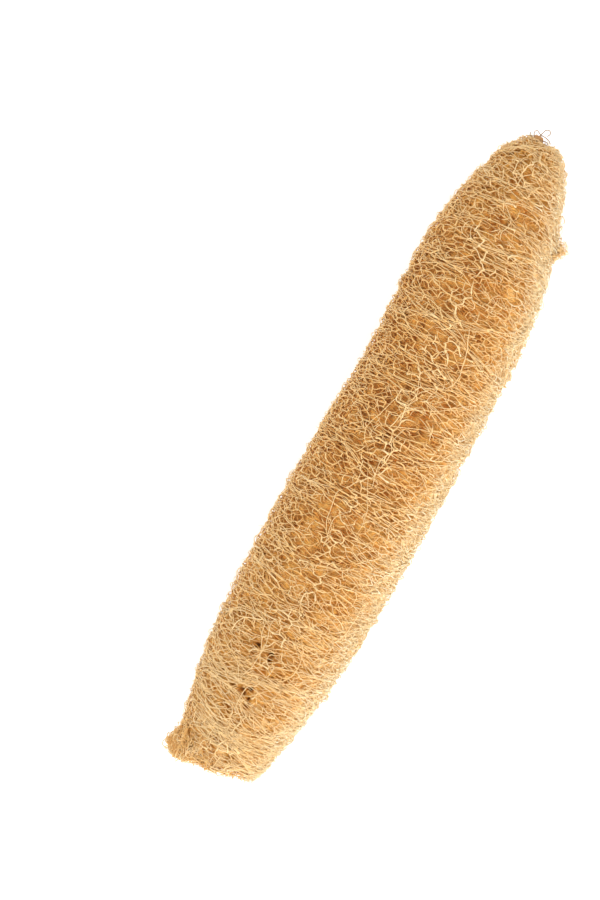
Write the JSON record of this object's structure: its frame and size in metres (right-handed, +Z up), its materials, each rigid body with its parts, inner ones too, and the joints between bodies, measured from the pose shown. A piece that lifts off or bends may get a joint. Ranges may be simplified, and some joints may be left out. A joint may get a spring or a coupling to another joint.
{
  "type": "natural loofah sponge",
  "caption": "Whole dried loofah gourd sponge: a long tapering body of raised fibre net, lying on its side, open seed chambers at its cut end.",
  "frame": {"origin": "on the supporting surface, under the middle of the bounding box", "axes": "+X along the sponge from its cut end to its stem end, +Y across it to the side of the torn lip, +Z up"},
  "size_m": [0.3508, 0.0742, 0.0677],
  "materials": {
    "dry_fibre": "dry straw-coloured fibre net, matt"
  },
  "bodies": {
    "root": {"loofah": "dry_fibre"}
  },
  "joints": []
}
